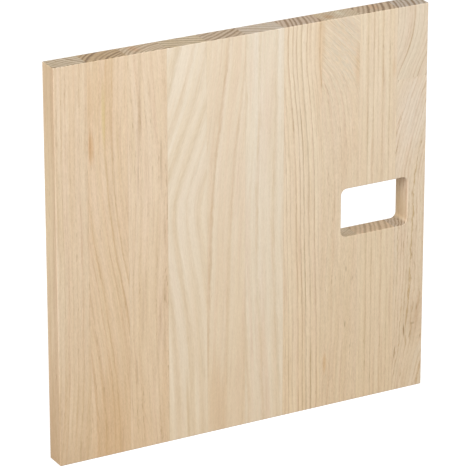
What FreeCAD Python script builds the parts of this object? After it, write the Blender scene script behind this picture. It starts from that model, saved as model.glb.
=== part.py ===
import FreeCAD, Part
import os

# Door for one cube of a shelf: a square panel of solid pine, glued edge to edge from
# upright staves, with a finger pull milled right through it near one edge.
# Seen from the front, X runs to the right, Z runs up and the front faces -Y.
# The origin is the middle of the underside. All sizes are in millimetres.

# Finished panel
door_width = 322.0
door_height = 322.0
door_thickness = 18.0
arris_radius = 0.7

# Staves: full ones share the width between the two outer ones, which the saw trims
full_stave_count = 8
outer_stave_width = 27.4

# Finger pull, centred on the door's height
pull_width = 60.0
pull_height = 40.0
pull_corner_radius = 5.0
pull_to_right_edge = 16.0

# Finger joint that makes up the right outer stave from two lengths
joint_below_top = 59.0
finger_length = 10.0
finger_pitch = 3.8
finger_tip_width = 0.6
finger_tip_gap = 0.2
narrowest_joint_shoulder = 1.0

# How far each cutting shape runs past the wood that it cuts
overrun = 5.0

front_y = -door_thickness / 2
back_y = door_thickness / 2
right_x = door_width / 2
left_x = -right_x


def box_between(low, high):
    """Box with the two given corners, each a tuple of X, Y and Z."""
    size = [b - a for a, b in zip(low, high)]
    return Part.makeBox(size[0], size[1], size[2], FreeCAD.Vector(*low))


def runs_through_thickness(edge):
    """True for a straight edge that runs from the front of the door to the back."""
    box = edge.BoundBox
    return box.YLength > max(box.XLength, box.ZLength)


def pull_cutter():
    """What the router takes out: the finger pull, past both faces."""
    pull_right = right_x - pull_to_right_edge
    pull_middle_z = door_height / 2
    cutter = box_between(
        (pull_right - pull_width, front_y - overrun, pull_middle_z - pull_height / 2),
        (pull_right, back_y + overrun, pull_middle_z + pull_height / 2))
    corners = [edge for edge in cutter.Edges if runs_through_thickness(edge)]
    return cutter.makeFillet(pull_corner_radius, corners)


def finished_panel():
    """The door as one body, with the pull cut and every outside edge eased."""
    blank = box_between((left_x, front_y, 0), (right_x, back_y, door_height))
    door_corners = [edge for edge in blank.Edges if runs_through_thickness(edge)]
    eased_blank = blank.makeFillet(arris_radius, door_corners)
    milled = eased_blank.cut(pull_cutter())
    rims = [edge for edge in milled.Edges if not runs_through_thickness(edge)]
    return milled.makeFillet(arris_radius, rims)


def glue_lines():
    """X of each glue line and of the door's two sides, from left to right."""
    first_line = left_x + outer_stave_width
    full_stave_width = (door_width - 2 * outer_stave_width) / full_stave_count
    inner = [first_line + step * full_stave_width for step in range(full_stave_count + 1)]
    return [left_x] + inner + [right_x]


def staves(panel):
    """Solids of the panel between neighbouring glue lines, lowest first in each stave."""
    lines = glue_lines()
    pieces = []
    for left, right in zip(lines[:-1], lines[1:]):
        slab = box_between((left, front_y - overrun, -overrun),
                           (right, back_y + overrun, door_height + overrun))
        solids = panel.common(slab).Solids
        pieces.append(sorted(solids, key=lambda solid: solid.CenterOfMass.z))
    return pieces


def finger_profile(gap_above_valleys, gap_below_crests):
    """Y and Z of one length's side of the finger joint, from front to back.

    The fingers run across the thickness, so each face of the door shows only the
    straight line of a shoulder. A gap shortens the fingers that would reach that far,
    and the flanks stay on the same planes for both lengths.
    """
    shoulder_z = door_height - joint_below_top
    finger_count = int((door_thickness - 2 * narrowest_joint_shoulder) / finger_pitch)
    first_crest_y = -finger_count * finger_pitch / 2
    flank_lean = (finger_pitch / 2 - finger_tip_width) / finger_length
    crest_half = finger_tip_width / 2 + flank_lean * gap_below_crests
    valley_half = finger_tip_width / 2 + flank_lean * gap_above_valleys
    crest_z = shoulder_z - gap_below_crests
    valley_z = shoulder_z - finger_length + gap_above_valleys
    points = [(front_y - overrun, shoulder_z), (first_crest_y + finger_tip_width / 2, shoulder_z)]
    for finger in range(finger_count):
        valley_y = first_crest_y + (finger + 0.5) * finger_pitch
        points += [(valley_y - valley_half, valley_z), (valley_y + valley_half, valley_z)]
        if finger < finger_count - 1:
            crest_y = valley_y + finger_pitch / 2
            points += [(crest_y - crest_half, crest_z), (crest_y + crest_half, crest_z)]
    points += [(-first_crest_y - finger_tip_width / 2, shoulder_z), (back_y + overrun, shoulder_z)]
    return points


def wood_beyond(profile, far_z):
    """Everything on the far_z side of a finger profile, across the whole door."""
    outline = profile + [(back_y + overrun, far_z), (front_y - overrun, far_z), profile[0]]
    corners = [FreeCAD.Vector(left_x - overrun, y, z) for y, z in outline]
    face = Part.Face(Part.makePolygon(corners))
    return face.extrude(FreeCAD.Vector(door_width + 2 * overrun, 0, 0))


def finger_jointed(stave):
    """The long and the short length that the finger joint makes of a stave."""
    long_side = wood_beyond(finger_profile(0.0, finger_tip_gap), -overrun)
    short_side = wood_beyond(finger_profile(finger_tip_gap, 0.0), door_height + overrun)
    return stave.common(long_side), stave.common(short_side)


def named_pieces():
    """Every piece of wood in the door by name."""
    pieces = {}
    columns = staves(finished_panel())
    for number, column in enumerate(columns, start=1):
        name = "stave_%d" % number
        if number == len(columns):
            long_length, short_length = finger_jointed(column[0])
            pieces[name + "_long_length"] = long_length
            pieces[name + "_short_length"] = short_length
        elif len(column) == 2:
            pieces[name + "_below_pull"] = column[0]
            pieces[name + "_above_pull"] = column[1]
        else:
            pieces[name] = column[0]
    return pieces


os.makedirs("parts", exist_ok=True)
for name, shape in named_pieces().items():
    solid = shape.Solids[0]
    solid.exportStep("parts/%s.step" % name)
    print("%-22s %9.1f mm3, %d faces" % (name, solid.Volume, len(solid.Faces)))
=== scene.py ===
from math import cos, radians, sin

import bpy
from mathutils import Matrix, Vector


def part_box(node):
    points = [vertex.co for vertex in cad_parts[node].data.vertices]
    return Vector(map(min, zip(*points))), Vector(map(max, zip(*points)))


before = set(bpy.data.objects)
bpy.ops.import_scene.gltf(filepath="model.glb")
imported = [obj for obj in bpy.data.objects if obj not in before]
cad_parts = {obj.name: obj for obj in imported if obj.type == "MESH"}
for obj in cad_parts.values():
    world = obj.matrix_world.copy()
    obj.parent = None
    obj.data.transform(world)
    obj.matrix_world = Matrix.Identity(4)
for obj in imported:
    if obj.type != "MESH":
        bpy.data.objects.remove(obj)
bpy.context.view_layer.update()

doorHeight = 322.0  # millimetres, as all sizes in the wood settings are
metre = 1000.0  # in millimetres
print("frame loaded:", len(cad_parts), "pieces of wood")


# node helpers

def wire(tree, target, source):
    if isinstance(source, bpy.types.NodeSocket):
        tree.links.new(source, target)
    else:
        target.default_value = source


def calc(tree, operation, *terms):
    node = tree.nodes.new("ShaderNodeMath")
    node.operation = operation
    for socket, term in zip(node.inputs, terms):
        wire(tree, socket, term)
    return node.outputs[0]


def plus(tree, first, second):
    return calc(tree, "ADD", first, second)


def minus(tree, first, second):
    return calc(tree, "SUBTRACT", first, second)


def times(tree, first, second):
    return calc(tree, "MULTIPLY", first, second)


def over(tree, first, second):
    return calc(tree, "DIVIDE", first, second)


def sumOfSquares(tree, first, *others):
    total = calc(tree, "POWER", first, 2.0)
    for other in others:
        total = plus(tree, total, calc(tree, "POWER", other, 2.0))
    return total


def remap(tree, value, fromLow, fromHigh, toLow=0.0, toHigh=1.0, style="LINEAR"):
    node = tree.nodes.new("ShaderNodeMapRange")
    node.interpolation_type = style
    for socket, term in zip(node.inputs, (value, fromLow, fromHigh, toLow, toHigh)):
        wire(tree, socket, term)
    return node.outputs[0]


def joinAxes(tree, x, y, z):
    node = tree.nodes.new("ShaderNodeCombineXYZ")
    for socket, term in zip(node.inputs, (x, y, z)):
        wire(tree, socket, term)
    return node.outputs[0]


def splitAxes(tree, vector):
    node = tree.nodes.new("ShaderNodeSeparateXYZ")
    wire(tree, node.inputs[0], vector)
    return node.outputs


def noise(tree, vector, seed, detail=0.0, roughness=0.5):
    node = tree.nodes.new("ShaderNodeTexNoise")
    node.noise_dimensions = "4D"
    wire(tree, node.inputs["Vector"], vector)
    wire(tree, node.inputs["W"], seed)
    node.inputs["Scale"].default_value = 1.0
    node.inputs["Detail"].default_value = detail
    node.inputs["Roughness"].default_value = roughness
    return node.outputs[0]


def patternNoise(tree, axes, seed, pattern):
    # noise with its own pace along each axis, from a dictionary such as those in ringNoises
    paced = [times(tree, axis, pace) for axis, pace in zip(axes, pattern["pace"])]
    if "seedStep" in pattern:
        seed = plus(tree, seed, pattern["seedStep"])
    level = noise(tree, joinAxes(tree, *paced), seed,
                  pattern.get("detail", 0.0), pattern.get("roughness", 0.5))
    if "levels" in pattern:
        level = remap(tree, level, *pattern["levels"], style=pattern.get("style", "LINEAR"))
    return level


def mixColour(tree, factor, first, second, blend="MIX"):
    node = tree.nodes.new("ShaderNodeMix")
    node.data_type = "RGBA"
    node.blend_type = blend
    wire(tree, node.inputs[0], factor)
    for socket, colour in ((node.inputs[6], first), (node.inputs[7], second)):
        wire(tree, socket, colour if isinstance(colour, bpy.types.NodeSocket) else (*colour, 1.0))
    return node.outputs[2]


def ramp(tree, value, stops):
    node = tree.nodes.new("ShaderNodeValToRGB")
    wire(tree, node.inputs[0], value)
    marks = node.color_ramp.elements
    while len(marks) < len(stops):
        marks.new(0.5)
    for mark, (place, level) in zip(marks, stops):
        mark.position = place
        mark.color = (level, level, level, 1.0)
    return node.outputs[0]


def newGroup(name, inputs, outputs):
    tree = bpy.data.node_groups.new(name, "ShaderNodeTree")
    for label, kind, usual in inputs:
        socket = tree.interface.new_socket(name=label, in_out="INPUT", socket_type="NodeSocket" + kind)
        if usual is not None:
            socket.default_value = usual
    for label in outputs:
        tree.interface.new_socket(name=label, in_out="OUTPUT", socket_type="NodeSocketFloat")
    given = tree.nodes.new("NodeGroupInput").outputs
    result = tree.nodes.new("NodeGroupOutput").inputs
    return tree, given, result


def useGroup(tree, group, **terms):
    node = tree.nodes.new("ShaderNodeGroup")
    node.node_tree = group
    for label, term in terms.items():
        wire(tree, node.inputs[label.replace("_", " ")], term)
    return node.outputs


# effects that the woods share

ringRules = {
    "wanderReach": 2.0,
    "knotHeight": 0.45,  # below 1 a knot bends the lines further up and down than sideways
    "knotPush": 0.75,
    "yearPace": 0.37, "yearSpread": 1.5,
    # how dark the wood is at each share of a ring, on the faces and on the cut ends
    "lineProfile": [(0.0, 0.0), (0.3, 0.06), (0.52, 0.4), (0.68, 1.0), (0.8, 0.8), (0.92, 0.25),
                    (1.0, 0.0)],
    "endProfile": [(0.0, 0.0), (0.35, 0.12), (0.6, 1.0), (0.82, 0.85), (1.0, 0.0)],
    "yearContrast": 1.5, "yearDepth": (0.3, 1.15), "endYearDepth": (0.55, 1.0),
    "fibreShares": (0.27, 0.34, 0.39),  # coarse streaks, fine streaks, grit
    "fibreLevels": (0.36, 0.64),
    "fleckByLate": (0.05, 0.4, 0.25, 1.0),  # late wood from and to, share of the flecks from and to
    "mottleLean": 0.7,
}

# pace is the change for each millimetre sideways, inwards and up; a step in the seed sets
# a pattern apart from the others; levels are the noise from and to, and after them what it
# becomes, where that isn't 0 to 1
ringNoises = {
    "wander": {"pace": (0.015, 0.02, 0.014), "detail": 1.0},
    "ripple": {"pace": (0.16, 0.16, 0.035), "detail": 4.0, "roughness": 0.58},
    "rag": {"pace": (0.55, 0.55, 0.13), "detail": 3.0, "roughness": 0.6},
    "along": {"pace": (0.45, 0.45, 0.03), "detail": 3.0, "roughness": 0.6, "levels": (0.3, 0.7, 0.35, 1.3)},
    "coarse": {"pace": (0.42, 0.42, 0.024), "detail": 2.0, "roughness": 0.6},
    "fine": {"pace": (1.1, 1.1, 0.07), "seedStep": 5.0, "detail": 3.0, "roughness": 0.65},
    "grit": {"pace": (1.3, 1.3, 0.4), "seedStep": 13.0, "detail": 2.0},
    "hair": {"pace": (0.62, 0.62, 0.016), "seedStep": 6.0, "detail": 1.0, "roughness": 0.4,
             "levels": (0.56, 0.74), "style": "SMOOTHSTEP"},
    "tint": {"pace": (0.19, 0.1, 0.006), "seedStep": 9.0, "detail": 1.0, "levels": (0.36, 0.64)},
    "blush": {"pace": (0.3, 0.2, 0.012), "seedStep": 11.0, "detail": 2.0, "levels": (0.42, 0.68)},
    "duct": {"pace": (1.5, 1.5, 0.16), "seedStep": 7.0, "detail": 1.0,
             "levels": (0.56, 0.70), "style": "SMOOTHSTEP"},
    "crowd": {"pace": (0.12, 0.1, 0.02), "seedStep": 8.0, "levels": (0.35, 0.6, 0.15, 1.0)},
    "mottle": {"pace": (0.8, 0.5, 0.13), "seedStep": 3.0, "detail": 2.0, "roughness": 0.6,
               "levels": (0.4, 0.6)},
}


def buildPineGrain():
    # growth rings as shells round a pith that stands beside the stave, so that faces,
    # edges and cut ends agree; everything is in millimetres
    tree, given, result = newGroup("pine grain", [
        ("Vector", "Vector", None), ("Middle", "Float", 0.0), ("Drift", "Float", 0.0),
        ("Pith Distance", "Float", 60.0), ("Pith Turn", "Float", 0.0), ("Ring Width", "Float", 3.0),
        ("Ring Offset", "Float", 0.0), ("Wander", "Float", 1.0), ("Ripple", "Float", 0.3),
        ("Jag", "Float", 0.5), ("Uneven", "Float", 1.0), ("Thinness", "Float", 1.4),
        ("End Rings", "Float", 1.0), ("Seed", "Float", 0.0),
        ("Knot Across", "Float", 0.0), ("Knot Up", "Float", 0.0), ("Knot Size", "Float", 0.0)],
        ["Late Wood", "End Ring", "Red Year", "Fibre", "Hair", "Fleck", "Mottle", "Tint", "Blush"])
    x, y, z = splitAxes(tree, given["Vector"])[:3]
    seed = given["Seed"]

    # slow sideways wander on the way up
    slow = patternNoise(tree, (x, y, z), seed, ringNoises["wander"])
    wander = times(tree, minus(tree, slow, 0.5), times(tree, given["Wander"], ringRules["wanderReach"]))
    # lines part and pass round a knot
    besideKnot = minus(tree, x, given["Knot Across"])
    aboveKnot = times(tree, minus(tree, z, given["Knot Up"]), ringRules["knotHeight"])
    reach = plus(tree, calc(tree, "POWER", given["Knot Size"], 2.0), 0.01)
    knotNear = over(tree, reach, plus(tree, reach, sumOfSquares(tree, besideKnot, aboveKnot)))
    knotPush = times(tree, besideKnot, times(tree, knotNear, ringRules["knotPush"]))

    across = x
    for shift in (given["Middle"], given["Drift"], wander, knotPush):
        across = minus(tree, across, shift)
    inStave = (across, y, z)

    # the turn is the way from the pith to the stave: 0 is to the right, 90 to the back
    turn = calc(tree, "RADIANS", given["Pith Turn"])
    fromPithX = plus(tree, across, times(tree, given["Pith Distance"], calc(tree, "COSINE", turn)))
    fromPithY = plus(tree, y, times(tree, given["Pith Distance"], calc(tree, "SINE", turn)))
    radius = calc(tree, "SQRT", sumOfSquares(tree, fromPithX, fromPithY))
    rings = over(tree, minus(tree, radius, given["Pith Distance"]), given["Ring Width"])
    rings = plus(tree, rings, given["Ring Offset"])
    # wet and dry years: rings of uneven width
    years = noise(tree, joinAxes(tree, times(tree, rings, ringRules["yearPace"]), 0.0, 0.0), seed)
    unevenness = times(tree, minus(tree, years, 0.5), ringRules["yearSpread"])
    rings = plus(tree, rings, times(tree, unevenness, given["Uneven"]))
    ripple = patternNoise(tree, inStave, seed, ringNoises["ripple"])
    rings = plus(tree, rings, times(tree, minus(tree, ripple, 0.5), given["Ripple"]))
    # the ragged edge of a line, a fixed size whatever the ring width
    rag = patternNoise(tree, inStave, seed, ringNoises["rag"])
    rag = times(tree, minus(tree, rag, 0.5), given["Jag"])
    rings = plus(tree, rings, over(tree, rag, given["Ring Width"]))

    yearPart = calc(tree, "POWER", calc(tree, "FRACT", rings), given["Thinness"])
    line = ramp(tree, yearPart, ringRules["lineProfile"])
    yearNode = tree.nodes.new("ShaderNodeTexWhiteNoise")
    yearNode.noise_dimensions = "1D"
    wire(tree, yearNode.inputs["W"], plus(tree, calc(tree, "FLOOR", rings), seed))
    yearChance = calc(tree, "POWER", yearNode.outputs[0], ringRules["yearContrast"])
    yearDepth = remap(tree, yearChance, 0.0, 1.0, *ringRules["yearDepth"])
    wire(tree, result["Red Year"], splitAxes(tree, yearNode.outputs[1])[1])
    # on the cut ends the faint years show too
    endPart = calc(tree, "FRACT", times(tree, rings, given["End Rings"]))
    endLine = ramp(tree, endPart, ringRules["endProfile"])
    endDepth = remap(tree, yearDepth, *ringRules["yearDepth"], *ringRules["endYearDepth"])
    wire(tree, result["End Ring"], times(tree, endLine, endDepth))
    # the lines come and go along the grain
    along = patternNoise(tree, inStave, seed, ringNoises["along"])
    late = times(tree, line, times(tree, yearDepth, along))
    wire(tree, result["Late Wood"], late)

    # fine upright streaks, a coarse set and a fine one, and grit between them
    coarse, fine, grit = [
        times(tree, patternNoise(tree, inStave, seed, ringNoises[name]), share)
        for name, share in zip(("coarse", "fine", "grit"), ringRules["fibreShares"])]
    fibre = plus(tree, plus(tree, coarse, fine), grit)
    wire(tree, result["Fibre"], remap(tree, fibre, *ringRules["fibreLevels"]))
    # single darker hairlines
    wire(tree, result["Hair"], patternNoise(tree, inStave, seed, ringNoises["hair"]))
    # slow changes of tone
    wire(tree, result["Tint"], patternNoise(tree, inStave, seed, ringNoises["tint"]))
    wire(tree, result["Blush"], patternNoise(tree, inStave, seed, ringNoises["blush"]))

    # short dark strokes, most of them in the late wood
    duct = patternNoise(tree, inStave, seed, ringNoises["duct"])
    crowd = patternNoise(tree, inStave, seed, ringNoises["crowd"])
    fleck = times(tree, duct, remap(tree, late, *ringRules["fleckByLate"]))
    wire(tree, result["Fleck"], times(tree, fleck, crowd))

    # strokes that lean down to the right, where the grain dips into the face
    strokeAcross = plus(tree, x, times(tree, z, ringRules["mottleLean"]))
    strokeAlong = minus(tree, z, x)
    mottle = patternNoise(tree, (strokeAcross, y, strokeAlong), seed, ringNoises["mottle"])
    wire(tree, result["Mottle"], mottle)
    return tree


patchRules = {
    "rag": {"pace": (0.5, 0.2, 0.03), "detail": 2.0},
    "gone": 1.0, "full": 0.15,  # as shares of the way from the middle to the rim
}


def buildSoftPatch():
    # a soft-edged ellipsoid for one spot of a stave: a stain or mark, and in some places painted light or
    # shade
    tree, given, result = newGroup("soft patch", [
        ("Vector", "Vector", None),
        ("Across", "Float", 0.0), ("Inward", "Float", 0.0), ("Up", "Float", 0.0),
        ("Half Width", "Float", 5.0), ("Half Depth", "Float", 1000.0), ("Half Height", "Float", 20.0),
        ("Lean", "Float", 0.0), ("Raggedness", "Float", 0.5)],
        ["Mask"])
    x, y, z = splitAxes(tree, given["Vector"])[:3]
    above = minus(tree, z, given["Up"])
    sideways = minus(tree, minus(tree, x, given["Across"]), times(tree, above, given["Lean"]))
    sideways = over(tree, sideways, given["Half Width"])
    inwards = over(tree, minus(tree, y, given["Inward"]), given["Half Depth"])
    upwards = over(tree, above, given["Half Height"])
    away = calc(tree, "SQRT", sumOfSquares(tree, sideways, upwards, inwards))
    rag = patternNoise(tree, (x, y, z), given["Across"], patchRules["rag"])
    away = plus(tree, away, times(tree, minus(tree, rag, 0.5), given["Raggedness"]))
    mask = remap(tree, away, patchRules["gone"], patchRules["full"], style="SMOOTHSTEP")
    wire(tree, result["Mask"], mask)
    return tree


cutEndSlopes = (0.35, 0.85)  # the upward part of the normal where the cut end begins and is full


def buildCutEnd():
    # 1 where the saw crossed the grain, on the top, the bottom and two walls of the pull
    tree, given, result = newGroup("cut end", [("Normal", "Vector", None)], ["Mask"])
    upright = calc(tree, "ABSOLUTE", splitAxes(tree, given["Normal"])[2])
    wire(tree, result["Mask"], remap(tree, upright, *cutEndSlopes, style="SMOOTHSTEP"))
    return tree


def buildGlueLine():
    tree, given, result = newGroup("glue line", [
        ("Vector", "Vector", None), ("Left", "Float", 0.0), ("Right", "Float", 0.0),
        ("Breadth", "Float", 0.2)],
        ["Mask"])
    x = splitAxes(tree, given["Vector"])[0]
    fromLeft = calc(tree, "ABSOLUTE", minus(tree, x, given["Left"]))
    fromRight = calc(tree, "ABSOLUTE", minus(tree, x, given["Right"]))
    nearest = calc(tree, "MINIMUM", fromLeft, fromRight)
    wire(tree, result["Mask"], remap(tree, nearest, given["Breadth"], 0.0, style="SMOOTHSTEP"))
    return tree


pineGrain = buildPineGrain()
softPatch = buildSoftPatch()
cutEnd = buildCutEnd()
glueLine = buildGlueLine()
print("shader groups ready")


# the wood

driftRange = 60.0  # the widest sideways drift, each way, that a drift curve holds

pine = {
    "roughness": (0.52, 0.66),
    "specular": 0.3,
    "ripple": 0.3,
    "jag": 0.8,
    "uneven": 1.0,
    "thinness": 1.4,
    "endRings": 1.0,
    "fibreDepth": 0.19,
    "fibreHue": (0.85, 0.95, 1.2),  # a darker fibre is also a warmer one
    "redLate": (0.64, 0.40, 0.26), "redLateShare": 0.5,
    # painted warm shade over the foot of the door: a multiply, full at the bottom and gone at the given
    # height
    "footShadeTone": (0.98, 0.955, 0.90), "footShadeHeight": 210.0,
    "tintDepth": 0.6,
    "blushTone": (0.76, 0.53, 0.40), "blushDepth": 0.22,
    "hairTone": (0.58, 0.36, 0.22), "hairDepth": 0.26,
    "glueTone": (0.42, 0.30, 0.17), "glueDepth": 0.2,
    "fleckTone": (0.46, 0.30, 0.17),
    "endTone": (0.63, 0.61, 0.585),
    "endLateTone": (0.20, 0.12, 0.06), "endLateDepth": 0.85, "endLateLevels": (0.08, 0.9),
    "reliefDepth": 0.00006,  # this one in metres, as the bump takes it
    "reliefOfLate": 0.6, "reliefOfFibre": 0.5,
    "knot": (0.0, 0.0, 0.0),
    "patches": [],
}

# what a patch takes when it says nothing else: right through the wood, upright, a little ragged
patchUsual = {"inward": 0.0, "halfDepth": 1000.0, "lean": 0.0, "rag": 0.5}


def driftCurve(tree, z, points):
    # sideways place of a grain line, given at a few heights
    node = tree.nodes.new("ShaderNodeFloatCurve")
    curve = node.mapping.curves[0]
    while len(curve.points) < len(points):
        curve.points.new(0.5, 0.5)
    for point, (height, sideways) in zip(curve.points, points):
        point.location = (height / doorHeight, 0.5 + sideways / (2 * driftRange))
    node.mapping.update()
    wire(tree, node.inputs["Value"], over(tree, z, doorHeight))
    return times(tree, minus(tree, node.outputs[0], 0.5), 2 * driftRange)


def patchAmount(tree, here, grain, patch):
    full = {**patchUsual, **patch}
    mask = useGroup(
        tree, softPatch, Vector=here, Across=full["across"], Up=full["up"], Inward=full["inward"],
        Half_Width=full["halfWidth"], Half_Depth=full["halfDepth"], Half_Height=full["halfHeight"],
        Lean=full["lean"], Raggedness=full["rag"])["Mask"]
    amount = times(tree, mask, full["depth"])
    if full.get("mottled"):
        amount = times(tree, amount, grain["Mottle"])
    return amount


def faceColour(tree, here, z, grain, wood):
    colour = mixColour(tree, times(tree, grain["Tint"], wood["tintDepth"]), wood["early"], wood["tint"])
    blush = times(tree, grain["Blush"], wood["blushDepth"])
    colour = mixColour(tree, blush, colour, wood["blushTone"])
    redYear = times(tree, grain["Red Year"], wood["redLateShare"])
    lateTone = mixColour(tree, redYear, wood["late"], wood["redLate"])
    colour = mixColour(tree, times(tree, grain["Late Wood"], wood["lateDepth"]), colour, lateTone)
    for patch in wood["patches"]:
        colour = mixColour(tree, patchAmount(tree, here, grain, patch), colour, patch["tone"])
    hair = times(tree, grain["Hair"], wood["hairDepth"])
    colour = mixColour(tree, hair, colour, wood["hairTone"])
    fleck = times(tree, grain["Fleck"], wood["fleckDepth"])
    colour = mixColour(tree, fleck, colour, wood["fleckTone"])
    halfDepth = wood["fibreDepth"] / 2
    shade = remap(tree, grain["Fibre"], 0.0, 1.0, 1.0 + halfDepth, 1.0 - halfDepth)
    fibreShade = joinAxes(tree, *[calc(tree, "POWER", shade, power) for power in wood["fibreHue"]])
    colour = mixColour(tree, 1.0, colour, fibreShade, "MULTIPLY")
    # painted warm shade: the lower part of the door is a little darker and warmer, standing in for warm
    # bounce light
    footShadeColour = mixColour(tree, 1.0, colour, wood["footShadeTone"], "MULTIPLY")
    return mixColour(tree, remap(tree, z, wood["footShadeHeight"], 0.0), colour, footShadeColour)


def pineMaterial(name, ownWood, left, right):
    wood = {**pine, **ownWood}
    material = bpy.data.materials.new(name)
    material.use_nodes = True
    tree = material.node_tree
    tree.nodes.clear()
    place = tree.nodes.new("ShaderNodeTexCoord")
    toMillimetres = tree.nodes.new("ShaderNodeMapping")
    toMillimetres.inputs["Scale"].default_value = (metre, metre, metre)
    wire(tree, toMillimetres.inputs["Vector"], place.outputs["Object"])
    here = toMillimetres.outputs[0]
    z = splitAxes(tree, here)[2]
    knotAcross, knotUp, knotSize = wood["knot"]

    grain = useGroup(
        tree, pineGrain, Vector=here, Middle=(left + right) / 2, Drift=driftCurve(tree, z, wood["drift"]),
        Pith_Distance=wood["pithDistance"], Pith_Turn=wood["pithTurn"],
        Ring_Width=wood["ringWidth"], Ring_Offset=wood["ringOffset"], End_Rings=wood["endRings"],
        Wander=wood["wander"], Ripple=wood["ripple"], Jag=wood["jag"], Uneven=wood["uneven"],
        Thinness=wood["thinness"], Seed=wood["seed"],
        Knot_Across=knotAcross, Knot_Up=knotUp, Knot_Size=knotSize)
    ends = useGroup(tree, cutEnd, Normal=place.outputs["Normal"])["Mask"]
    glue = useGroup(tree, glueLine, Vector=here, Left=left, Right=right)["Mask"]

    colour = faceColour(tree, here, z, grain, wood)
    colour = mixColour(tree, times(tree, glue, wood["glueDepth"]), colour, wood["glueTone"])
    endColour = mixColour(tree, 1.0, colour, wood["endTone"], "MULTIPLY")
    endLate = remap(tree, grain["End Ring"], *wood["endLateLevels"], 0.0, wood["endLateDepth"])
    endColour = mixColour(tree, endLate, endColour, wood["endLateTone"])
    colour = mixColour(tree, ends, colour, endColour)

    lateRelief = times(tree, grain["Late Wood"], wood["reliefOfLate"])
    fibreRelief = times(tree, grain["Fibre"], wood["reliefOfFibre"])
    bump = tree.nodes.new("ShaderNodeBump")
    bump.inputs["Strength"].default_value = 1.0
    bump.inputs["Distance"].default_value = wood["reliefDepth"]
    wire(tree, bump.inputs["Height"], plus(tree, lateRelief, fibreRelief))

    shader = tree.nodes.new("ShaderNodeBsdfPrincipled")
    shader.inputs["Specular IOR Level"].default_value = wood["specular"]
    wire(tree, shader.inputs["Base Color"], colour)
    wire(tree, shader.inputs["Roughness"], remap(tree, grain["Fibre"], 0.0, 1.0, *wood["roughness"]))
    wire(tree, shader.inputs["Normal"], bump.outputs[0])
    output = tree.nodes.new("ShaderNodeOutputMaterial")
    wire(tree, output.inputs["Surface"], shader.outputs[0])
    return material


def dress(nodeName, wood):
    low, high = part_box(nodeName)
    material = pineMaterial(nodeName + " pine", wood, low[0] * metre, high[0] * metre)
    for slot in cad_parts[nodeName].material_slots:
        slot.material = material
    print("dressed", nodeName)


# tones of the marks in the wood, and of the painted shade at the door's foot
orange = (0.66, 0.42, 0.22)
resin = (0.63, 0.395, 0.195)
slit = (0.30, 0.18, 0.07)
streak = (0.58, 0.40, 0.26)
darkStreak = (0.50, 0.33, 0.20)
paleStreak = (0.89, 0.78, 0.65)
# painted shade: darkens the foot of the left edge and the lower left corner of the face
paintedFootShade = (0.56, 0.40, 0.25)

# early, tint and late are the tones of a stave; drift is the sideways place of a grain line at
# some heights; a patch is a stain or mark, or in some places painted light or shade, its middle measured
# from the door's middle and foot
staveOne = {
    "seed": 1.6,
    "early": (0.764, 0.591, 0.425), "tint": (0.717, 0.534, 0.347), "late": (0.598, 0.412, 0.235),
    "pithDistance": 60.0, "pithTurn": 210.0, "ringWidth": 3.6, "ringOffset": 0.2,
    "drift": [(0, -4), (40, -1.5), (90, 0.5), (150, 1), (220, 0), (322, 0)],
    "wander": 1.2, "ripple": 0.6,
    "lateDepth": 0.45, "fleckDepth": 0.5, "fibreDepth": 0.22,
    "endTone": (0.68, 0.71, 0.715), "endLateDepth": 0.7,
    "patches": [
        # painted light: a paler tone along the upper part of the left edge, lightening that side
        {"tone": (0.87, 0.72, 0.51), "depth": 0.8, "across": -161, "up": 222,
         "halfWidth": 3, "halfHeight": 200, "inward": 4, "halfDepth": 15, "rag": 0.2},
        {"tone": orange, "depth": 0.16, "across": -161, "up": 290,
         "halfWidth": 3, "halfHeight": 80},
        {"tone": (0.84, 0.72, 0.58), "depth": 0.25, "across": -157, "up": 125,
         "halfWidth": 8, "halfHeight": 90},
        # painted shade: these three patches darken the foot of the left edge and the lower left corner of
        # the face
        {"tone": paintedFootShade, "depth": 0.28, "across": -149, "up": 0,
         "halfWidth": 22, "halfHeight": 40},
        {"tone": paintedFootShade, "depth": 0.4, "across": -161, "up": 0,
         "halfWidth": 4, "halfHeight": 110},
        {"tone": paintedFootShade, "depth": 0.6, "across": -161, "up": 0,
         "halfWidth": 3, "halfHeight": 40, "inward": 9, "halfDepth": 12, "rag": 0.3},
    ],
}
dress("stave_1", staveOne)

staveTwo = {
    "seed": 2.3,
    "early": (0.775, 0.59, 0.417), "tint": (0.725, 0.535, 0.34), "late": (0.575, 0.375, 0.20),
    "pithDistance": 48.0, "pithTurn": 128.0, "ringWidth": 4.0, "ringOffset": 0.3,
    "drift": [(0, 25), (40, 24), (80, 21), (113, 16), (145, 11), (177, 5), (220, 0), (322, 0)],
    "wander": 1.4, "ripple": 0.6, "uneven": 1.3,
    "lateDepth": 0.55, "fleckDepth": 0.4, "fibreDepth": 0.23,
    "endTone": (0.569, 0.523, 0.441), "endLateDepth": 1.0,
    "patches": [
        {"tone": orange, "depth": 0.25, "across": -120, "up": 290,
         "halfWidth": 14, "halfHeight": 60},
        {"tone": orange, "depth": 0.3, "across": -131, "up": 292,
         "halfWidth": 4, "halfHeight": 38},
        {"tone": (0.62, 0.36, 0.16), "depth": 0.5, "across": -130.6, "up": 254,
         "halfWidth": 3.8, "halfHeight": 19},
        {"tone": (0.50, 0.25, 0.10), "depth": 0.45, "across": -131.6, "up": 256,
         "halfWidth": 1.5, "halfHeight": 22},
        {"tone": (0.64, 0.50, 0.20), "depth": 0.4, "across": -120.4, "up": 280,
         "halfWidth": 2.6, "halfHeight": 38},
        {"tone": resin, "depth": 0.36, "across": -116, "up": 16,
         "halfWidth": 23, "halfHeight": 88},
    ],
}
dress("stave_2", staveTwo)

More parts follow.
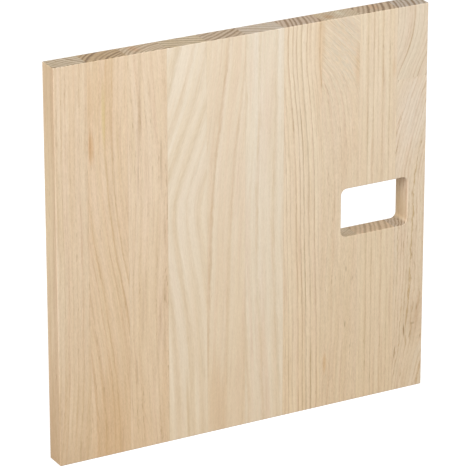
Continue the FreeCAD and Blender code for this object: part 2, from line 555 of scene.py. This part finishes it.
staveThree = {
    "seed": 3.1,
    "early": (0.797, 0.622, 0.455), "tint": (0.75, 0.572, 0.385), "late": (0.631, 0.439, 0.251),
    "pithDistance": 45.0, "pithTurn": 122.0, "ringWidth": 3.4, "ringOffset": 0.1,
    "drift": [(0, 4), (110, 0), (220, 2), (322, -3)],
    "wander": 2.0, "ripple": 0.5,
    "lateDepth": 0.4, "fleckDepth": 0.55,
    "endTone": (0.647, 0.63, 0.597), "endLateDepth": 0.7,
    "patches": [
        {"tone": orange, "depth": 0.25, "across": -71, "up": 45,
         "halfWidth": 3.5, "halfHeight": 60},
        {"tone": orange, "depth": 0.18, "across": -90, "up": 16,
         "halfWidth": 12, "halfHeight": 60},
        {"tone": (0.80, 0.45, 0.25), "depth": 0.55, "across": -89, "up": 322,
         "halfWidth": 6, "halfHeight": 3, "inward": 2, "halfDepth": 11},
        {"tone": darkStreak, "depth": 0.5, "across": -90.3, "up": 275,
         "halfWidth": 2.4, "halfHeight": 80, "lean": 0.02, "rag": 1.5},
        {"tone": darkStreak, "depth": 0.5, "across": -72.4, "up": 232,
         "halfWidth": 1.8, "halfHeight": 30, "rag": 1.2},
        {"tone": darkStreak, "depth": 0.45, "across": -69.5, "up": 174,
         "halfWidth": 1.8, "halfHeight": 22, "rag": 1.0},
        {"tone": darkStreak, "depth": 0.4, "across": -92, "up": 225,
         "halfWidth": 1.5, "halfHeight": 14, "rag": 1.5},
        {"tone": darkStreak, "depth": 0.4, "across": -70, "up": 127,
         "halfWidth": 1.7, "halfHeight": 14, "rag": 1.5},
        {"tone": darkStreak, "depth": 0.4, "across": -70.8, "up": 84,
         "halfWidth": 1.7, "halfHeight": 20, "rag": 1.5},
        {"tone": darkStreak, "depth": 0.35, "across": -94.5, "up": 66,
         "halfWidth": 1.8, "halfHeight": 20, "rag": 1.5},
        {"tone": streak, "depth": 0.35, "across": -74.5, "up": 98,
         "halfWidth": 2.6, "halfHeight": 58, "lean": 0.08, "rag": 1.2},
        {"tone": streak, "depth": 0.35, "across": -88.5, "up": 118,
         "halfWidth": 3.5, "halfHeight": 42, "lean": 0.05, "rag": 1.4},
    ],
}
dress("stave_3", staveThree)

staveFour = {
    "seed": 4.7,
    "early": (0.827, 0.697, 0.555), "tint": (0.782, 0.625, 0.447), "late": (0.60, 0.425, 0.245),
    "pithDistance": 400.0, "pithTurn": 60.0, "ringWidth": 5.4, "ringOffset": 0.21, "endRings": 1.1,
    "drift": [(0, 15), (69, 12.6), (103, 9.6), (131, 6), (156, 2.5), (176, 0.3), (193, 0.3), (203, 2),
              (212, 4.8), (223, 8.8), (241, 15.5), (264, 24.5), (276, 29), (299, 35.5), (322, 41)],
    "wander": 0.8, "ripple": 0.2, "uneven": 0.25, "thinness": 0.85, "jag": 2.6,
    "lateDepth": 0.75, "redLateShare": 0.1, "fleckDepth": 0.15, "fibreDepth": 0.13, "hairDepth": 0.06,
    "blushDepth": 0.12,
    "endTone": (0.65, 0.615, 0.533), "endLateDepth": 1.0,
    "patches": [
        {"tone": (0.84, 0.71, 0.57), "depth": 0.6, "across": -53, "up": 305,
         "halfWidth": 9, "halfHeight": 40, "lean": 0.35},
        {"tone": paleStreak, "depth": 0.45, "across": -65, "up": 55,
         "halfWidth": 3, "halfHeight": 80, "lean": -0.035, "rag": 0.3},
        {"tone": paleStreak, "depth": 0.4, "across": -42.6, "up": 28,
         "halfWidth": 3.5, "halfHeight": 50, "lean": -0.03},
        {"tone": (0.60, 0.425, 0.245), "depth": 0.4, "across": -50.4, "up": 20,
         "halfWidth": 1.8, "halfHeight": 48, "lean": -0.03},
        {"tone": slit, "depth": 0.45, "across": -32.8, "up": 311,
         "halfWidth": 1.2, "halfHeight": 5},
    ],
}
dress("stave_4", staveFour)

staveFive = {
    "seed": 5.2,
    "early": (0.806, 0.665, 0.513), "tint": (0.775, 0.61, 0.435), "late": (0.625, 0.44, 0.265),
    "pithDistance": 120.0, "pithTurn": -54.0, "ringWidth": 9.6, "ringOffset": 0.74, "endRings": 2.3,
    "drift": [(0, -8.5), (48, -6.5), (100, -4.5), (132, -3.5), (171, -2.2), (209, 0.5), (225, 1.8),
              (241, 3.6), (261, 6), (283, 9), (296, 11), (322, 13)],
    "wander": 0.8, "ripple": 0.16, "uneven": 0.3, "thinness": 2.8, "jag": 2.4,
    "lateDepth": 0.8, "fleckDepth": 0.2, "fibreDepth": 0.14, "hairDepth": 0.16,
    "endTone": (0.585, 0.541, 0.503), "endLateDepth": 1.0,
    "patches": [
        {"tone": orange, "depth": 0.32, "across": -25, "up": 24,
         "halfWidth": 12, "halfHeight": 62},
    ],
}
dress("stave_5", staveFive)

staveSix = {
    "seed": 6.6,
    "early": (0.821, 0.702, 0.57), "tint": (0.786, 0.638, 0.47), "late": (0.685, 0.525, 0.34),
    "pithDistance": 150.0, "pithTurn": 60.0, "ringWidth": 6.4, "ringOffset": 0.4, "endRings": 1.3,
    "drift": [(0, 5), (50, 4), (103, 1), (150, -1), (193, -1), (245, 0.5), (322, 2.5)],
    "wander": 1.6, "ripple": 0.4, "uneven": 0.8, "thinness": 2.0, "jag": 2.0,
    "lateDepth": 0.5, "redLateShare": 0.2, "fleckDepth": 0.15, "fibreDepth": 0.14, "hairDepth": 0.12,
    "blushDepth": 0.3,
    "endTone": (0.623, 0.602, 0.592), "endLateDepth": 0.5,
    "patches": [
        {"tone": orange, "depth": 0.16, "across": 14, "up": 66,
         "halfWidth": 5, "halfHeight": 34},
    ],
}
dress("stave_6", staveSix)

staveSeven = {
    "seed": 7.4,
    "early": (0.82, 0.665, 0.497), "tint": (0.80, 0.63, 0.437), "late": (0.48, 0.325, 0.18),
    "pithDistance": 110.0, "pithTurn": -18.0, "ringWidth": 3.6, "ringOffset": 0.5,
    "drift": [(0, 3), (92, 2.2), (150, 0.6), (184, 0), (215, -1), (241, -2.6), (265, -5), (292, -7.4),
              (322, -7)],
    "wander": 0.6, "ripple": 0.4, "thinness": 1.7,
    "lateDepth": 1.0, "fleckDepth": 0.45,
    "endTone": (0.584, 0.545, 0.539), "endLateDepth": 1.0,
    "patches": [
        {"tone": orange, "depth": 0.3, "across": 66, "up": 305,
         "halfWidth": 8, "halfHeight": 75},
    ],
}
dress("stave_7", staveSeven)

staveEight = {
    "seed": 8.8,
    "early": (0.782, 0.625, 0.46), "tint": (0.75, 0.58, 0.40), "late": (0.635, 0.449, 0.271),
    "pithDistance": 150.0, "pithTurn": -60.0, "ringWidth": 1.9, "ringOffset": 0.3,
    "drift": [(0, -3), (110, 0), (215, 0), (235, -1.5), (255, -4), (272, -9), (285, -17), (300, -30),
              (322, -52)],
    "wander": 1.5, "ripple": 0.8,
    "lateDepth": 0.28, "fleckDepth": 0.5, "fibreDepth": 0.25, "hairDepth": 0.16,
    "endTone": (0.646, 0.619, 0.567), "endLateDepth": 0.35,
    "patches": [
        {"tone": (0.64, 0.58, 0.50), "depth": 0.4, "across": 86, "up": 300,
         "halfWidth": 24, "halfHeight": 50, "mottled": True},
        {"tone": (0.62, 0.36, 0.18), "depth": 0.6, "across": 76, "up": 322,
         "halfWidth": 6, "halfHeight": 3, "inward": -2, "halfDepth": 8, "rag": 1.4},
        {"tone": (0.95, 0.86, 0.70), "depth": 0.6, "across": 87, "up": 322,
         "halfWidth": 5, "halfHeight": 3, "inward": 1.5, "halfDepth": 11},
        {"tone": slit, "depth": 0.45, "across": 90, "up": 114,
         "halfWidth": 0.9, "halfHeight": 4},
        {"tone": slit, "depth": 0.4, "across": 96, "up": 105,
         "halfWidth": 0.8, "halfHeight": 3, "lean": 0.2},
        {"tone": slit, "depth": 0.45, "across": 89.5, "up": 67,
         "halfWidth": 0.9, "halfHeight": 4},
        {"tone": orange, "depth": 0.35, "across": 98.5, "up": 281,
         "halfWidth": 4, "halfHeight": 28},
        {"tone": orange, "depth": 0.3, "across": 67.5, "up": 306,
         "halfWidth": 3.2, "halfHeight": 34},
        {"tone": orange, "depth": 0.13, "across": 89, "up": 212,
         "halfWidth": 12, "halfHeight": 42, "lean": 0.1},
        {"tone": orange, "depth": 0.6, "across": 71.3, "up": 37,
         "halfWidth": 2.5, "halfHeight": 13},
        {"tone": (0.97, 0.80, 0.62), "depth": 0.75, "across": 92, "up": 141,
         "halfWidth": 14, "halfHeight": 5, "inward": 3, "halfDepth": 12, "rag": 0.2},
    ],
}
dress("stave_8", staveEight)

staveNine = {
    "seed": 9.9,
    "early": (0.803, 0.649, 0.481), "tint": (0.775, 0.607, 0.42), "late": (0.605, 0.448, 0.269),
    "pithDistance": 90.0, "pithTurn": -25.0, "ringWidth": 3.9, "ringOffset": 0.7,
    "drift": [(0, 0), (160, 0), (322, 0)],
    "wander": 0.5, "ripple": 0.4, "thinness": 1.6,
    "lateDepth": 0.65, "fleckDepth": 0.35,
    "endTone": (0.593, 0.545, 0.503), "endLateDepth": 1.0,
    "patches": [
        {"tone": orange, "depth": 0.3, "across": 131, "up": 274,
         "halfWidth": 2.5, "halfHeight": 12},
        {"tone": (0.90, 0.55, 0.30), "depth": 0.5, "across": 118, "up": 322,
         "halfWidth": 6, "halfHeight": 3, "inward": 2, "halfDepth": 11},
    ],
}
dress("stave_9_above_pull", staveNine)
dress("stave_9_below_pull", {**staveNine, "endTone": (0.73, 0.665, 0.60), "endLateDepth": 0.5})

staveTenShort = {
    "seed": 10.5,
    "early": (0.769, 0.635, 0.488), "tint": (0.748, 0.596, 0.441), "late": (0.52, 0.38, 0.23),
    "pithDistance": 80.0, "pithTurn": -15.0, "ringWidth": 3.6, "ringOffset": 0.6,
    "drift": [(253, -20), (270, -14), (290, -5), (306, -1), (322, 0)],
    "wander": 0.8, "ripple": 0.5, "thinness": 2.0,
    "lateDepth": 0.85, "fleckDepth": 0.3,
    "endTone": (0.571, 0.572, 0.598), "endLateDepth": 1.0,
}
dress("stave_10_short_length", staveTenShort)

staveTenLong = {
    "seed": 11.7,
    "early": (0.802, 0.653, 0.507), "tint": (0.767, 0.608, 0.44), "late": (0.56, 0.395, 0.21),
    "pithDistance": 80.0, "pithTurn": -25.0, "ringWidth": 2.6, "ringOffset": 0.1,
    "drift": [(0, -9), (20, -5), (40, 0), (64, 2), (150, 0), (180, 1), (205, 5), (230, 12), (263, 25)],
    "wander": 2.0, "ripple": 1.1, "jag": 3.2,
    "knot": (159.0, 56.0, 14.0),  # its place across and up, and its size
    "lateDepth": 0.8, "fleckDepth": 0.65,
    "patches": [
        # painted shade: the first two patches darken the pull's right wall and its lower corner, where the
        # recess is in shade
        {"tone": (0.61, 0.455, 0.27), "depth": 0.62, "across": 145, "up": 152,
         "halfWidth": 1.6, "halfHeight": 30, "inward": 4, "halfDepth": 20, "rag": 0.2},
        {"tone": (0.62, 0.46, 0.28), "depth": 0.55, "across": 144, "up": 143,
         "halfWidth": 4, "halfHeight": 5, "inward": 4, "halfDepth": 16, "rag": 0.2},
        {"tone": (0.80, 0.70, 0.60), "depth": 0.35, "across": 148, "up": 236,
         "halfWidth": 18, "halfHeight": 42},
        {"tone": streak, "depth": 0.3, "across": 153, "up": 60,
         "halfWidth": 14, "halfHeight": 30, "rag": 1.2},
        {"tone": slit, "depth": 0.8, "across": 144, "up": 50,
         "halfWidth": 1.1, "halfHeight": 9, "lean": -0.05},
        {"tone": (0.86, 0.74, 0.58), "depth": 0.5, "across": 146.5, "up": 49,
         "halfWidth": 1.3, "halfHeight": 9},
        {"tone": slit, "depth": 0.4, "across": 149.5, "up": 46,
         "halfWidth": 1.0, "halfHeight": 4, "lean": 0.3},
        {"tone": slit, "depth": 0.35, "across": 152, "up": 55,
         "halfWidth": 3.2, "halfHeight": 1.4, "rag": 1.0},
        {"tone": slit, "depth": 0.5, "across": 135.5, "up": 33,
         "halfWidth": 1.0, "halfHeight": 8, "lean": 0.1},
        {"tone": slit, "depth": 0.4, "across": 155.5, "up": 68,
         "halfWidth": 1.2, "halfHeight": 4},
    ],
}
dress("stave_10_long_length", staveTenLong)


# studio

studio = {
    "middle": (0.0, 0.0, 0.16),  # the spot that both lamps are aimed at
    "floorSpan": 12.0, "floorColour": (0.44, 0.40, 0.35), "floorRoughness": 0.9,
    "whiteLift": 0.87, "whiteTone": (0.92, 0.95, 1.0),
    "skyStrength": 0.505, "skyColour": (1.0, 0.925, 0.775),
}


def aimAt(item, target):
    item.rotation_euler = (Vector(target) - item.location).to_track_quat("-Z", "Y").to_euler()


def around(turn, lift, away, target):
    # turn is measured from the front of the door, towards its right
    turned, lifted = radians(turn), radians(lift)
    arm = Vector((sin(turned) * cos(lifted), -cos(turned) * cos(lifted), sin(lifted)))
    return Vector(target) + away * arm


def seenDirectly(tree):
    light = tree.nodes.new("ShaderNodeLightPath").outputs
    seen = calc(tree, "MAXIMUM", light["Is Camera Ray"], light["Is Glossy Ray"])
    return calc(tree, "MAXIMUM", seen, light["Is Transmission Ray"])


def buildFloor():
    bpy.ops.mesh.primitive_plane_add(size=studio["floorSpan"])
    floor = bpy.context.object
    floor.name = "floor"
    material = bpy.data.materials.new("floor paper")
    material.use_nodes = True
    tree = material.node_tree
    shader = tree.nodes["Principled BSDF"]
    shader.inputs["Base Color"].default_value = (*studio["floorColour"], 1.0)
    shader.inputs["Roughness"].default_value = studio["floorRoughness"]
    shader.inputs["Specular IOR Level"].default_value = 0.0
    shader.inputs["Emission Color"].default_value = (*studio["whiteTone"], 1.0)
    wire(tree, shader.inputs["Emission Strength"], times(tree, seenDirectly(tree), studio["whiteLift"]))
    floor.data.materials.append(material)


def buildSky():
    world = bpy.data.worlds.new("studio")
    bpy.context.scene.world = world
    world.use_nodes = True
    tree = world.node_tree
    background = tree.nodes["Background"]
    seen = seenDirectly(tree)
    wire(tree, background.inputs["Color"], mixColour(tree, seen, studio["skyColour"], (1.0, 1.0, 1.0)))
    wire(tree, background.inputs["Strength"], remap(tree, seen, 0.0, 1.0, studio["skyStrength"], 1.0))


overhead = {"power": 12.9, "span": 0.6, "colour": (0.73, 0.85, 0.96), "location": (-0.05, -0.80, 1.2)}
side = {"power": 41.7, "span": 1.5, "colour": (0.97, 0.97, 1.0), "turn": -71.0, "lift": 22.0, "away": 3.0}


def addSoftbox(name, settings, location):
    lamp = bpy.data.lights.new(name, "AREA")
    lamp.energy = settings["power"]
    lamp.size = settings["span"]
    lamp.color = settings["colour"]
    box = bpy.data.objects.new(name, lamp)
    bpy.context.collection.objects.link(box)
    box.location = location
    aimAt(box, studio["middle"])


camera = {
    "turn": -28.66, "lift": 21.9, "away": 2.751, "aim": (-0.0042, 0.0, 0.1574),
    "lens": 273.9, "sensorWidth": 36.0, "clipEnd": 50.0,
}


def buildCamera():
    lens = bpy.data.cameras.new("photo view")
    lens.lens = camera["lens"]
    lens.sensor_width = camera["sensorWidth"]
    lens.clip_end = camera["clipEnd"]
    body = bpy.data.objects.new("photo view", lens)
    bpy.context.collection.objects.link(body)
    body.location = around(camera["turn"], camera["lift"], camera["away"], camera["aim"])
    aimAt(body, camera["aim"])
    bpy.context.scene.camera = body


buildFloor()
buildSky()
addSoftbox("overhead softbox", overhead, overhead["location"])
addSoftbox("side softbox", side, around(side["turn"], side["lift"], side["away"], studio["middle"]))
buildCamera()
bpy.context.scene.view_settings.view_transform = "Standard"
print("studio ready")
